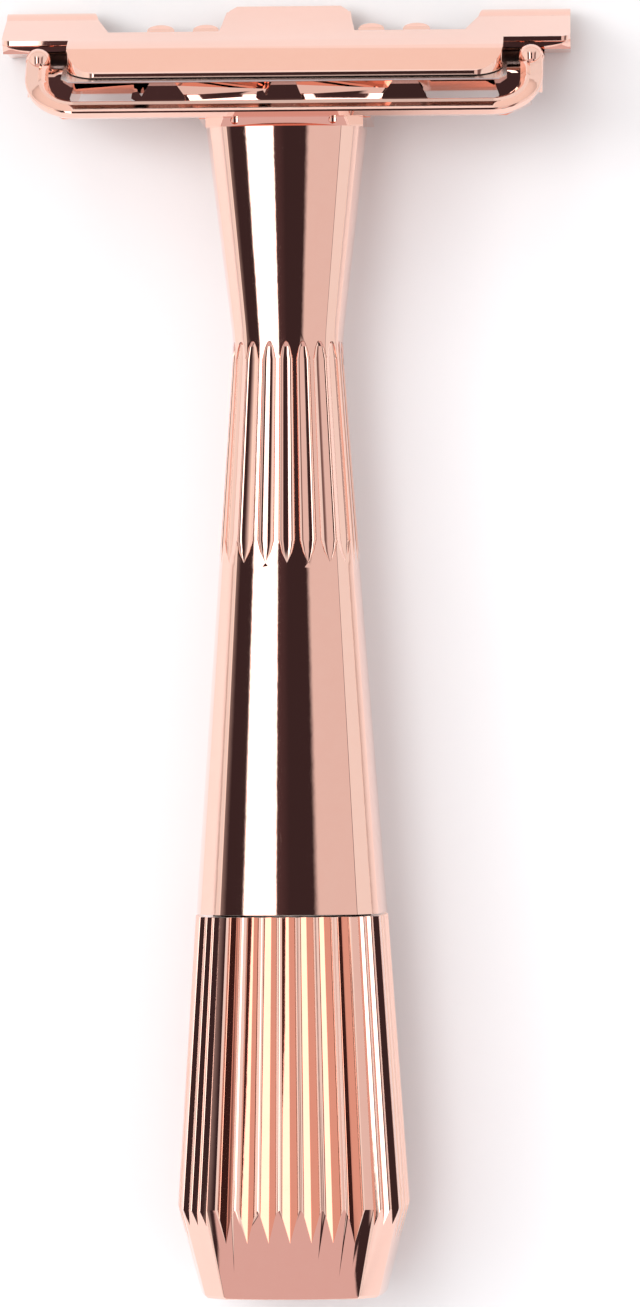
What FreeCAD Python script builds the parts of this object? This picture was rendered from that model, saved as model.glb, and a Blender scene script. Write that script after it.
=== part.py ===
"""Twist-to-open single-edge safety razor, a parametric assembly in millimetres.

The razor lies on its back.  +Z points away from the surface that it lies on, +Y runs along the
handle towards the head and +X runs along the cutting edge.  Every sub-part is drawn on the handle's
own axis, with y = 0 on the knob's end face, and one Placement then moves it to the part's origin.
"""
import FreeCAD, Part
import math
import os
import re

import Sketcher

os.makedirs("parts", exist_ok=True)
doc = FreeCAD.newDocument("safety_razor")

# ------------------------------------------------------------------ driving dimensions
DIMENSIONS = (
    # whole razor
    ("length", 109.2), ("axis_height", 9.75), ("flat_share", 0.72),
    # knob, an octagon that is widest near its end
    ("knob_end_half", 7.875), ("knob_girth_y", 7.6), ("knob_girth_half", 9.75),
    ("knob_top_y", 31.9), ("knob_top_half", 8.1), ("knob_bore_r", 4.58),
    ("cavity_r", 6.2), ("shoulder_y", 14.0), ("groove_low_y", 3.5),
    # handle, an octagon with a waist below the head
    ("handle_low_y", 32.1), ("handle_low_half", 8.05), ("waist_y", 80.0), ("waist_half", 4.6),
    ("neck_mid_y", 92.7), ("neck_mid_half", 5.95), ("neck_top_y", 98.0), ("neck_top_half", 6.75),
    ("flute_low_y", 61.6), ("flute_high_y", 80.0),
    ("spigot_r", 4.5), ("spigot_low_y", 12.2), ("handle_bore_r", 2.6),
    ("lower_bush_y", 54.0), ("lower_bush_top", 60.0), ("waist_bore_r", 1.8),
    ("upper_bush_y", 88.0), ("upper_bush_top", 94.0), ("neck_bore_r", 2.4),
    # small pieces on the spigot
    ("clip_y", 12.9), ("clip_thick", 0.6), ("clip_groove_r", 3.9), ("clip_outer_r", 5.6),
    ("thrust_y", 13.55), ("thrust_thick", 0.4), ("thrust_outer_r", 6.1), ("washer_gap", 0.05),
    ("friction_outer_r", 6.7), ("friction_top_y", 32.5),
    ("ring_y", 27.9), ("ring_wire_r", 0.65), ("ring_centre_r", 3.91), ("ring_groove_half", 0.7),
    # pull rod and its thread
    ("rod_r", 1.5), ("rod_low_y", 3.4), ("thread_r", 2.45), ("thread_top_y", 20.0),
    ("rod_top_y", 100.2), ("rod_end_r", 1.2), ("running_gap", 0.06),
    ("insert_low_y", 4.5), ("insert_top_y", 11.5),
    ("insert_bore_r", 2.53), ("plug_recess", 0.3), ("plug_top_y", 2.5),
    ("stop_low_y", 49.4), ("stop_top_y", 52.1), ("stop_outer_r", 2.4),
    # yoke, drive pin and lug
    ("drive_y", 99.7), ("drive_z", -5.5), ("drive_pin_r", 0.6), ("yoke_half", 2.3),
    ("lug_half", 0.9), ("cheek_gap", 1.1), ("slot_half", 0.83), ("slot_front_z", -1.75),
    ("slot_back_z", -6.2), ("yoke_low_y", 98.27), ("yoke_top_y", 101.08),
    ("yoke_front_top_y", 100.5), ("yoke_front_z", 1.9), ("yoke_back_z", -6.6), ("hub_back_z", -1.32),
    ("cross_pin_r", 0.5), ("cross_pin_y", 99.3), ("cavity_half", 2.45),
    # hinge
    ("hinge_y", 106.1), ("hinge_z", -7.1), ("hinge_pin_r", 0.75), ("hinge_bore_r", 0.8),
    ("knuckle_r", 2.6), ("lug_outer_r", 1.7), ("pin_half", 23.8),
    # blade plane, tilted down towards the guard
    ("tilt", 20.0), ("edge_y", 101.7), ("edge_z", 6.9), ("blade_thick", 0.1), ("blade_lift", 0.213),
    ("blade_width", 11.0), ("blade_edge_half", 18.65), ("blade_half", 21.5), ("tab_width", 6.0),
    ("spine_notch_half", 1.5), ("spine_notch_deep", 2.0), ("peg_x", 13.0), ("peg_r", 0.9),
    ("peg_gap", 0.1), ("spine_y", 105.468), ("spine_z", -3.44),
    # cap
    ("cap_half", 18.35), ("ear_half", 24.0), ("ear_inner", 15.7), ("hump_half", 5.8),
    ("lip_y", 102.15), ("lip_z", 6.26), ("crease_y", 104.9), ("crease_z", 3.6),
    ("cap_back_y", 107.4), ("cap_back_z", -3.6), ("top_slope", 0.3472), ("ear_front_z", 1.3),
    ("ear_lip", 0.5), ("web_back_z", -6.3), ("cap_corner", 2.6), ("far_back_z", -12.0),
    ("hump_drop", 0.4), ("hump_back_z", -8.6), ("ear_knuckle_x", 17.0), ("ear_knuckle_low_y", 104.9),
    # reach of the cuts
    ("corner_cut_reach", 8.0), ("opening_front_reach", 4.0), ("opening_reach", 20.0),
    ("recess_reach", 12.0), ("pin_hole_depth", 4.0), ("notch_reach", 1.0),
    # underside of the base beside the collar, which rises towards the back
    ("under_half", 7.2), ("under_front_z", 4.0), ("under_back_y", 101.9),
    ("socket_front_z", -3.7), ("socket_back_z", -6.1), ("socket_top_y", 107.0),
    ("peg_room_r", 1.3), ("peg_room_y", 106.35), ("lug_end_r", 1.0),
    ("dowel_y", 106.9), ("dowel_z", -4.7), ("dowel_r", 0.45), ("dowel_half", 3.5),
    # base with guard bar, ribs and side arms
    ("base_low_y", 98.8), ("block_half", 17.6), ("block_front_z", 5.2), ("seat_back_z", -4.3),
    ("back_top_y", 103.2), ("back_z", -7.6), ("arm_half", 21.8), ("arm_front_z", 4.6),
    ("arm_drop", 2.6), ("arm_inner", 17.4), ("guard_low_y", 98.8), ("guard_top_y", 100.1),
    ("guard_front_z", 8.9), ("guard_back_z", 7.0), ("floor_top_y", 99.7), ("guard_half", 18.5),
    ("guard_corner", 2.4), ("rib_half", 1.3), ("outer_rib_x", 10.1), ("opening_low_y", 100.0),
    ("opening_top_y", 101.7), ("opening_deep_z", 3.0), ("wall_half", 3.8),
    ("lug_a_in", 5.95), ("lug_a_out", 8.15), ("lug_b_in", 9.75), ("lug_b_out", 12.05),
    ("window_front_z", -1.5), ("roof_front_y", 102.5), ("roof_back_y", 103.1),
    ("cavity_front_z", 2.15), ("cavity_back_z", -6.8), ("cavity_low_y", 97.9),
    # pins that stand in the base
    ("peg_low_y", 103.5), ("peg_top_y", 105.9), ("post_x", 20.7), ("post_z", 3.3),
    ("post_r", 1.0), ("post_low_y", 100.8), ("post_top_y", 104.9),
    ("dowel_pair_x", 4.2), ("dowel_pair_r", 0.8), ("dowel_low_y", 94.5), ("dowel_high_y", 102.0),
    # collar between neck and base
    ("collar_half", 6.6), ("collar_cut", 1.6), ("collar_front_z", 6.6), ("collar_back_z", -7.6),
)

sizes = doc.addObject("Spreadsheet::Sheet", "sizes")
for row, (alias, number) in enumerate(DIMENSIONS, start=1):
    sizes.set(f"A{row}", alias)
    sizes.set(f"B{row}", repr(number))
    sizes.setAlias(f"B{row}", alias)
doc.recompute()

FUNCTIONS = {"tan", "cos", "sin", "deg"}
SEAT_SLOPE = "tan(tilt * 1 deg)"


def bound(text):
    """Turn an expression in aliases into one that any object of the document can hold."""
    word = re.compile(r"[a-z][a-z_]*")
    return word.sub(lambda m: m[0] if m[0] in FUNCTIONS else "sizes." + m[0], str(text))


def value(text):
    """Number that an expression in aliases has now."""
    return float(sizes.evalExpression(bound(text)))


# ------------------------------------------------------------------ sketches and features
def new_body(label):
    body = doc.addObject("PartDesign::Body", label)
    body.Label = label
    if hasattr(body, "AllowCompound"):
        body.AllowCompound = True
    return body


def new_sketch(body, role, offset="0"):
    """Sketch on one of the body's own origin planes, moved along the plane's normal."""
    sketch = body.newObject("Sketcher::SketchObject", "Sketch")
    plane = next(item for item in body.Origin.OriginFeatures if item.Role == role)
    sketch.AttachmentSupport = (plane, [""])
    sketch.MapMode = "FlatFace"
    sketch.setExpression("AttachmentOffset.Base.z", bound(offset))
    return sketch


def pin_point(sketch, geometry, point, across, along):
    """Hold one point of a sketch at a place that the sheet gives."""
    for kind, text in (("DistanceX", across), ("DistanceY", along)):
        index = sketch.addConstraint(Sketcher.Constraint(kind, -1, 1, geometry, point, value(text)))
        sketch.setExpression(f"Constraints[{index}]", bound(text))


def outline(sketch, corners):
    """Closed outline of straight lines through corners, each a pair of expressions."""
    first = sketch.GeometryCount
    spots = [FreeCAD.Vector(value(across), value(along), 0) for across, along in corners]
    for start, end in zip(spots, spots[1:] + spots[:1]):
        sketch.addGeometry(Part.LineSegment(start, end), False)
    count = len(corners)
    for step, (across, along) in enumerate(corners):
        line = first + step
        following = first + (step + 1) % count
        sketch.addConstraint(Sketcher.Constraint("Coincident", line, 2, following, 1))
        pin_point(sketch, line, 1, across, along)


def rectangle(sketch, left, right, low, high):
    outline(sketch, ((left, low), (right, low), (right, high), (left, high)))


def circle(sketch, across, along, radius):
    spot = FreeCAD.Vector(value(across), value(along), 0)
    ring = sketch.addGeometry(Part.Circle(spot, FreeCAD.Vector(0, 0, 1), value(radius)), False)
    pin_point(sketch, ring, 3, across, along)
    index = sketch.addConstraint(Sketcher.Constraint("Radius", ring, value(radius)))
    sketch.setExpression(f"Constraints[{index}]", bound(radius))


def extrude(body, sketch, length, kind="PartDesign::Pad", symmetric=True, reverse=False):
    """Pad or pocket; a pocket must take material away."""
    before = body.Shape.Volume if kind == "PartDesign::Pocket" else 0.0
    feature = body.newObject(kind, kind.split("::")[1])
    feature.Profile = sketch
    feature.SideType = "Symmetric" if symmetric else "One side"
    feature.Reversed = reverse
    feature.setExpression("Length", bound(length))
    doc.recompute()
    if kind == "PartDesign::Pocket" and body.Shape.Volume > before - 1e-4:
        raise RuntimeError(f"{body.Label}: a pocket takes nothing away")
    return feature


def pocket(body, sketch, length, symmetric=True, reverse=False):
    return extrude(body, sketch, length, "PartDesign::Pocket", symmetric, reverse)


def side_pad(body, corners, width):
    """Pad of a profile in (y, z), the same to both sides of the middle."""
    sketch = new_sketch(body, "YZ_Plane")
    outline(sketch, corners)
    return extrude(body, sketch, width)


def side_disc(body, radius, across, along, width):
    sketch = new_sketch(body, "YZ_Plane")
    circle(sketch, across, along, radius)
    return extrude(body, sketch, width)


def side_bore(body, radius, across, along, width):
    sketch = new_sketch(body, "YZ_Plane")
    circle(sketch, across, along, radius)
    return pocket(body, sketch, width)


def turned(label, profile):
    """Piece turned about the handle's axis from a profile in (y, radius)."""
    body = new_body(label)
    sketch = new_sketch(body, "YZ_Plane")
    outline(sketch, profile)
    feature = body.newObject("PartDesign::Revolution", "Revolution")
    feature.Profile = sketch
    feature.ReferenceAxis = (sketch, ["H_Axis"])
    feature.Angle = 360.0
    return body


def bored(body, profile):
    """Turned cut about the handle's axis."""
    before = body.Shape.Volume
    sketch = new_sketch(body, "YZ_Plane")
    outline(sketch, profile)
    feature = body.newObject("PartDesign::Groove", "Groove")
    feature.Profile = sketch
    feature.ReferenceAxis = (sketch, ["H_Axis"])
    feature.Angle = 360.0
    doc.recompute()
    if body.Shape.Volume > before - 1e-4:
        raise RuntimeError(f"{body.Label}: a groove takes nothing away")


def washer(label, low, high, inner, outer):
    return turned(label, ((low, inner), (high, inner), (high, outer), (low, outer)))


def octagon(sketch, half):
    """Square of the given half-width with its corners cut at 45 degrees."""
    flat = f"{half} * flat_share"
    corners = ((flat, half), (half, flat), (half, f"-{flat}"), (flat, f"-{half}"),
               (f"-{flat}", f"-{half}"), (f"-{half}", f"-{flat}"), (f"-{half}", flat),
               (f"-{flat}", half))
    outline(sketch, corners)


def octagon_loft(body, stations):
    """Faceted body through octagons, each station a pair of y and half-width."""
    sketches = []
    for along, half in stations:
        sketch = new_sketch(body, "XZ_Plane", f"-({along})")
        octagon(sketch, half)
        sketches.append(sketch)
    doc.recompute()
    loft = body.newObject("PartDesign::AdditiveLoft", "Loft")
    loft.Profile = sketches[0]
    loft.Sections = sketches[1:]
    loft.Ruled = True
    doc.recompute()
    return loft


def face_cutters(low, high, half_at, grooves):
    """Straight tapering cutters that run along the facets from low to high.

    grooves lists the grooves of one flat and one corner facet; each is the facet's turn in
    degrees, its distance from the axis, the groove's place across the facet, and the groove's
    section as (out, across) points.  Every length is a share of the half-width at that height.
    """
    tools = []
    for quarter in range(4):
        for turn, distance, place, section in grooves:
            angle = math.radians(quarter * 90 + turn)
            wires = []
            for along in (low, high):
                half = half_at(along)
                points = []
                for out, across in section:
                    radial = (distance + out) * half
                    tangent = (place + across) * half
                    points.append(FreeCAD.Vector(
                        radial * math.sin(angle) + tangent * math.cos(angle), along,
                        radial * math.cos(angle) - tangent * math.sin(angle)))
                wires.append(Part.makePolygon(points + points[:1]))
            tools.append(Part.makeLoft(wires, True, True))
    return Part.Compound(tools)


def grooved(label, blank, tools):
    """Cut a compound of groove cutters from a body."""
    blank.Label = label + "_blank"
    cutter = doc.addObject("Part::Feature", label + "_cutters")
    cutter.Shape = tools
    result = doc.addObject("Part::Cut", label)
    result.Base = blank
    result.Tool = cutter
    result.Label = label
    return result


# ------------------------------------------------------------------ knob
def make_knob_shell():
    """Hollow knob: 40 vee grooves run out on the taper below the widest place."""
    blank = new_body("knob_blank")
    octagon_loft(blank, (("0", "knob_end_half"), ("knob_girth_y", "knob_girth_half"),
                         ("knob_top_y", "knob_top_half")))
    bored(blank, (("0", "0"), ("0", "cavity_r"), ("shoulder_y", "cavity_r"),
                  ("shoulder_y", "knob_bore_r"), ("knob_top_y", "knob_bore_r"),
                  ("knob_top_y", "0")))
    top, girth = value("knob_top_y"), value("knob_girth_y")
    slope = (value("knob_girth_half") - value("knob_top_half")) / (top - girth)

    def half_at(along):
        return value("knob_girth_half") + (girth - along) * slope

    flat_pitch, flat_deep = 0.19, 0.089
    corner_pitch, corner_deep = 0.13, 0.062
    corner_distance = (1 + value("flat_share")) / math.sqrt(2)
    grooves = []
    for turn, distance, pitch, deep, count in ((0, 1.0, flat_pitch, flat_deep, 7),
                                               (45, corner_distance, corner_pitch, corner_deep, 3)):
        vee = ((-deep, 0.0), (deep / 2, deep * 1.5), (deep / 2, -deep * 1.5))
        for number in range(count):
            grooves.append((turn, distance, (number - (count - 1) / 2) * pitch, vee))
    tools = face_cutters(value("groove_low_y"), top + 0.5, half_at, grooves)
    return grooved("knob_shell", blank, tools)


def make_thread_insert():
    """Brass nut, pressed into the knob, that the rod's thread runs in."""
    return washer("thread_insert", "insert_low_y", "insert_top_y", "insert_bore_r", "cavity_r")


def make_end_plug():
    """Disc that closes the knob below the nut."""
    return turned("knob_end_plug", (("plug_recess", "0"), ("plug_recess", "cavity_r - 0.3"),
                                    ("plug_recess + 0.3", "cavity_r"), ("plug_top_y", "cavity_r"),
                                    ("plug_top_y", "0")))


# ------------------------------------------------------------------ handle
def make_handle_shell():
    """Octagonal handle with its waist, 24 flutes and the spigot that the knob turns on."""
    blank = new_body("handle_blank")
    octagon_loft(blank, (("handle_low_y", "handle_low_half"), ("waist_y", "waist_half"),
                         ("neck_mid_y", "neck_mid_half"), ("neck_top_y", "neck_top_half")))
    spigot = new_sketch(blank, "YZ_Plane")
    outline(spigot, (
        ("spigot_low_y", "0"), ("spigot_low_y", "spigot_r"), ("clip_y", "spigot_r"),
        ("clip_y", "clip_groove_r"), ("clip_y + clip_thick", "clip_groove_r"),
        ("clip_y + clip_thick", "spigot_r"), ("ring_y - ring_groove_half", "spigot_r"),
        ("ring_y - ring_groove_half", "ring_centre_r - ring_wire_r"),
        ("ring_y + ring_groove_half", "ring_centre_r - ring_wire_r"),
        ("ring_y + ring_groove_half", "spigot_r"), ("friction_top_y + 1", "spigot_r"),
        ("friction_top_y + 1", "0")))
    turn = blank.newObject("PartDesign::Revolution", "Revolution")
    turn.Profile = spigot
    turn.ReferenceAxis = (spigot, ["H_Axis"])
    turn.Angle = 360.0
    doc.recompute()
    bored(blank, (("handle_low_y - 0.5", "spigot_r"), ("friction_top_y", "spigot_r"),
                  ("friction_top_y", "friction_outer_r"), ("handle_low_y - 0.5", "friction_outer_r")))
    bored(blank, (
        ("spigot_low_y", "0"), ("spigot_low_y", "handle_bore_r"),
        ("lower_bush_top", "handle_bore_r"), ("lower_bush_top", "waist_bore_r"),
        ("upper_bush_y", "waist_bore_r"), ("upper_bush_y", "neck_bore_r"),
        ("neck_top_y", "neck_bore_r"), ("neck_top_y", "0")))
    dowels = new_sketch(blank, "XZ_Plane", "-dowel_low_y")
    for side in ("dowel_pair_x", "-dowel_pair_x"):
        circle(dowels, side, "0", "dowel_pair_r")
    pocket(blank, dowels, "dowel_high_y - dowel_low_y", symmetric=False)
    low, waist = value("handle_low_y"), value("waist_y")
    slope = (value("handle_low_half") - value("waist_half")) / (waist - low)

    def half_at(along):
        return value("handle_low_half") + (low - along) * slope

    pitch, floor, edge, deep = 0.306, 0.09, 0.12, 0.065
    corner_distance = (1 + value("flat_share")) / math.sqrt(2)
    section = ((-deep, floor), (-deep, -floor), (0.04, -edge - 0.04), (0.04, edge + 0.04))
    grooves = [(0, 1.0, number * pitch, section) for number in range(-2, 3)]
    grooves.append((45, corner_distance, 0.0, section))
    tools = face_cutters(value("flute_low_y"), value("flute_high_y"), half_at, grooves)
    return grooved("handle_shell", blank, tools)


def make_o_ring():
    """Rubber ring in the spigot's groove that gives the knob its drag."""
    body = new_body("knob_o_ring")
    sketch = new_sketch(body, "YZ_Plane")
    circle(sketch, "ring_y", "ring_centre_r", "ring_wire_r")
    feature = body.newObject("PartDesign::Revolution", "Revolution")
    feature.Profile = sketch
    feature.ReferenceAxis = (sketch, ["H_Axis"])
    feature.Angle = 360.0
    return body


def make_retaining_clip():
    """Open spring clip in the spigot's end groove, which keeps the knob on."""
    body = washer("retaining_clip", "clip_y", "clip_y + clip_thick", "clip_groove_r", "clip_outer_r")
    gap = new_sketch(body, "XZ_Plane", "-clip_y")
    doc.recompute()
    rectangle(gap, "-clip_thick", "clip_thick", "0", "clip_outer_r + 1")
    pocket(body, gap, "4 * clip_thick", symmetric=True)
    return body


# ------------------------------------------------------------------ pull rod
def make_pull_rod():
    """Rod with a screw thread at its low end, drawn as a plain cylinder of the thread's size."""
    body = turned("pull_rod", (
        ("rod_low_y", "0"), ("rod_low_y", "thread_r - 0.4"), ("rod_low_y + 0.4", "thread_r"),
        ("thread_top_y", "thread_r"), ("thread_top_y + 1", "rod_r"), ("yoke_low_y", "rod_r"),
        ("yoke_low_y", "rod_end_r"), ("rod_top_y", "rod_end_r"), ("rod_top_y", "0")))
    doc.recompute()
    side_bore(body, "cross_pin_r", "cross_pin_y", "0", "4 * rod_r")
    return body


def make_drive_yoke():
    """Block on the rod's end whose two cheeks carry the cross slot for the drive pin."""
    body = new_body("drive_yoke")
    side_pad(body, (("yoke_low_y", "yoke_front_z"), ("yoke_front_top_y", "yoke_front_z"),
                    ("yoke_top_y", "-cross_pin_r"), ("yoke_top_y", "yoke_back_z"),
                    ("yoke_low_y", "yoke_back_z")), "2 * yoke_half")
    slot = new_sketch(body, "YZ_Plane")
    rectangle(slot, "drive_y - slot_half", "drive_y + slot_half", "slot_back_z", "slot_front_z")
    pocket(body, slot, "2 * yoke_half + 1")
    gap = new_sketch(body, "YZ_Plane")
    rectangle(gap, "yoke_low_y - 1", "yoke_top_y + 1", "yoke_back_z - 1", "hub_back_z")
    pocket(body, gap, "2 * cheek_gap")
    bored(body, (("yoke_low_y - 1", "0"), ("yoke_low_y - 1", "rod_end_r"),
                 ("rod_top_y", "rod_end_r"), ("rod_top_y", "0")))
    side_bore(body, "cross_pin_r", "cross_pin_y", "0", "2 * yoke_half + 1")
    return body


def make_cross_pin():
    """Pin that fixes the yoke to the rod."""
    body = new_body("yoke_cross_pin")
    side_disc(body, "cross_pin_r", "cross_pin_y", "0", "2 * yoke_half")
    return body


# ------------------------------------------------------------------ cap
def seat(depth):
    """Height y of the blade's underside at the given z."""
    return f"edge_y + (edge_z - ({depth})) * {SEAT_SLOPE}"


def cap_under(depth):
    return f"{seat(depth)} + blade_lift"


def cap_top(depth):
    return f"cap_back_y + (cap_back_z - ({depth})) * top_slope"


def make_cap_shell():
    """Cap with its bevelled front, two ears, the middle hump and the hinge knuckles."""
    body = new_body("cap_shell")
    side_pad(body, (("lip_y", "lip_z"), ("crease_y", "crease_z"), ("cap_back_y", "cap_back_z"),
                    (cap_under("cap_back_z"), "cap_back_z")), "2 * cap_half")
    corners = new_sketch(body, "XZ_Plane", "-crease_y")
    for side in ("", "-"):
        outline(corners, ((f"{side}(cap_half + 1)", "lip_z + 1"),
                          (f"{side}(cap_half - cap_corner)", "lip_z + 1"),
                          (f"{side}(cap_half - cap_corner)", "lip_z"),
                          (f"{side}(cap_half - cap_corner * 0.3)", "lip_z - cap_corner * 0.3"),
                          (f"{side}cap_half", "lip_z - cap_corner"),
                          (f"{side}(cap_half + 1)", "lip_z - cap_corner")))
    pocket(body, corners, "corner_cut_reach")
    side_pad(body, ((f"{cap_top('ear_front_z')} - ear_lip", "ear_front_z"),
                    (cap_top("ear_front_z"), "ear_front_z"),
                    (cap_top("web_back_z"), "web_back_z"), (cap_under("web_back_z"), "web_back_z"),
                    (cap_under("cap_back_z"), "cap_back_z")), "2 * ear_half")
    side_disc(body, "knuckle_r", "hinge_y", "hinge_z", "2 * ear_half")
    for side, outward in (("", True), ("-", False)):
        trim = new_sketch(body, "YZ_Plane", f"{side}ear_knuckle_x")
        rectangle(trim, "edge_y", "ear_knuckle_low_y", "far_back_z", "cap_back_z")
        pocket(body, trim, "ear_half", symmetric=False, reverse=outward)
    recesses = new_sketch(body, "XZ_Plane", "-hinge_y")
    for side in ("", "-"):
        rectangle(recesses, f"{side}hump_half", f"{side}ear_inner", "far_back_z", "cap_back_z")
    pocket(body, recesses, "recess_reach")
    side_pad(body, (("crease_y", "crease_z"), ("length", "hinge_z"),
                    ("length - hump_drop", "hump_back_z"), ("hinge_y", "hump_back_z"),
                    ("hinge_y", "cap_back_z")), "2 * hump_half")
    side_bore(body, "hinge_bore_r", "hinge_y", "hinge_z", "2 * ear_half + 1")
    pegs = new_sketch(body, "XZ_Plane", "-(peg_room_y - pin_hole_depth)")
    for side in ("peg_x", "-peg_x"):
        circle(pegs, side, "spine_z", "peg_room_r")
    pocket(body, pegs, "pin_hole_depth", symmetric=False)
    socket = new_sketch(body, "YZ_Plane")
    rectangle(socket, "hinge_y - 4", "socket_top_y", "socket_back_z", "socket_front_z")
    pocket(body, socket, "2 * lug_half")
    side_bore(body, "dowel_r", "dowel_y", "dowel_z", "2 * dowel_half")
    return body


def make_drive_lug():
    """Blade of steel set in the cap that reaches down behind the razor blade."""
    body = new_body("cap_drive_lug")
    side_pad(body, (("socket_top_y", "socket_back_z"), ("socket_top_y", "socket_front_z"),
                    ("back_top_y", "socket_front_z"), ("drive_y", "drive_z + lug_end_r"),
                    ("drive_y", "drive_z - lug_end_r"), ("back_top_y", "socket_back_z")),
             "2 * lug_half")
    side_disc(body, "lug_end_r", "drive_y", "drive_z", "2 * lug_half")
    side_bore(body, "drive_pin_r", "drive_y", "drive_z", "2 * lug_half + 1")
    side_bore(body, "dowel_r", "dowel_y", "dowel_z", "2 * lug_half + 1")
    return body


def make_side_pin(label, radius, along, depth, half):
    """Round pin that lies across the razor."""
    body = new_body(label)
    side_disc(body, radius, along, depth, f"2 * {half}")
    return body


# ------------------------------------------------------------------ base
def make_base_plate():
    """Base with blade seat, guard bar, ribs, rinse openings, side arms and hinge lugs."""
    body = new_body("base_plate")
    side_pad(body, (("base_low_y", "block_front_z"), (seat("block_front_z"), "block_front_z"),
                    (seat("seat_back_z"), "seat_back_z"), ("back_top_y", "seat_back_z"),
                    ("back_top_y", "back_z"), ("base_low_y", "back_z")), "2 * block_half")
    side_pad(body, ((f"{seat('arm_front_z')} - arm_drop", "arm_front_z"),
                    (seat("arm_front_z"), "arm_front_z"), (seat("seat_back_z"), "seat_back_z"),
                    (f"{seat('seat_back_z')} - arm_drop", "seat_back_z")), "2 * arm_half")
    side_pad(body, (("guard_low_y", "guard_back_z"), ("guard_low_y", "guard_front_z - 0.5"),
                    ("guard_low_y + 0.5", "guard_front_z"), ("guard_top_y - 0.4", "guard_front_z"),
                    ("guard_top_y", "guard_front_z - 0.4"), ("guard_top_y", "guard_back_z + 0.3"),
                    ("floor_top_y", "guard_back_z"), ("floor_top_y", "block_front_z - 1"),
                    ("guard_low_y", "block_front_z - 1")), "2 * guard_half")
    corners = new_sketch(body, "XZ_Plane", "-guard_low_y")
    for side in ("", "-"):
        outline(corners, ((f"{side}(guard_half + 1)", "guard_front_z + 1"),
                          (f"{side}(guard_half - guard_corner)", "guard_front_z + 1"),
                          (f"{side}(guard_half - guard_corner)", "guard_front_z"),
                          (f"{side}(guard_half - guard_corner * 0.3)",
                           "guard_front_z - guard_corner * 0.3"),
                          (f"{side}guard_half", "guard_front_z - guard_corner"),
                          (f"{side}(guard_half + 1)", "guard_front_z - guard_corner")))
    pocket(body, corners, "corner_cut_reach")
    # side arms that join the guard bar to the seat's ends
    arms = new_sketch(body, "XY_Plane", "seat_back_z")
    for side in ("", "-"):
        outline(arms, ((f"{side}arm_inner", "guard_low_y"), (f"{side}guard_half", "guard_low_y"),
                       (f"{side}(arm_half - 1)", "guard_top_y"), (f"{side}arm_half", "edge_y"),
                       (f"{side}arm_inner", "edge_y")))
    extrude(body, arms, "arm_front_z - seat_back_z", symmetric=False)
    for side, outward in (("", True), ("-", False)):
        under = new_sketch(body, "YZ_Plane", f"{side}under_half")
        outline(under, (("base_low_y - 1", "under_front_z"), ("base_low_y", "under_front_z"),
                        ("under_back_y", "back_z"), ("under_back_y", "back_z - 1"),
                        ("base_low_y - 1", "back_z - 1")))
        pocket(body, under, "arm_half", symmetric=False, reverse=outward)
    # openings between the ribs: shallow beside the middle rib, then right through to the back
    front = new_sketch(body, "XY_Plane", "opening_deep_z")
    through = new_sketch(body, "XY_Plane", "back_z - 1")
    for side in ("", "-"):
        rectangle(front, f"{side}rib_half", f"{side}(outer_rib_x - rib_half)",
                  "opening_low_y", "opening_top_y")
        rectangle(through, f"{side}wall_half", f"{side}(outer_rib_x - rib_half)",
                  "opening_low_y", "opening_top_y")
        rectangle(through, f"{side}(outer_rib_x + rib_half)", f"{side}(arm_inner - 0.6)",
                  "opening_low_y", "opening_top_y")
    pocket(body, front, "opening_front_reach", symmetric=False, reverse=True)
    pocket(body, through, "opening_reach", symmetric=False, reverse=True)
    # hinge lugs in two pairs
    side_pad(body, (("back_top_y - 1", "hinge_z + lug_outer_r"), ("hinge_y", "hinge_z + lug_outer_r"),
                    ("hinge_y", "hinge_z - lug_outer_r"), ("back_top_y - 1", "back_z")),
             "2 * lug_b_out")
    side_disc(body, "lug_outer_r", "hinge_y", "hinge_z", "2 * lug_b_out")
    gaps = new_sketch(body, "XZ_Plane", "-back_top_y")
    rectangle(gaps, "-lug_a_in", "lug_a_in", "far_back_z", "seat_back_z")
    for side in ("", "-"):
        rectangle(gaps, f"{side}lug_a_out", f"{side}lug_b_in", "far_back_z", "seat_back_z")
    pocket(body, gaps, "corner_cut_reach", symmetric=False)
    side_bore(body, "hinge_pin_r", "hinge_y", "hinge_z", "2 * lug_b_out + 1")
    # room for the yoke and the drive lug
    housing = new_sketch(body, "YZ_Plane")
    outline(housing, (("cavity_low_y", "cavity_back_z"), ("cavity_low_y", "cavity_front_z"),
                      ("roof_front_y", "cavity_front_z"), ("roof_back_y", "-cross_pin_r"),
                      ("roof_back_y", "window_front_z"), ("length", "window_front_z"),
                      ("length", "cavity_back_z")))
    pocket(body, housing, "2 * cavity_half")
    # holes for the standing pins
    for across, depth, radius, low, reach in (
            ("peg_x", "spine_z", "peg_r", "peg_low_y", "pin_hole_depth"),
            ("post_x", "post_z", "post_r", "post_low_y", "pin_hole_depth"),
            ("dowel_pair_x", "0", "dowel_pair_r", "dowel_low_y", "dowel_high_y - dowel_low_y")):
        holes = new_sketch(body, "XZ_Plane", f"-{low}")
        for side in ("", "-"):
            circle(holes, f"{side}{across}", depth, radius)
        pocket(body, holes, reach, symmetric=False)
    return body


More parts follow.
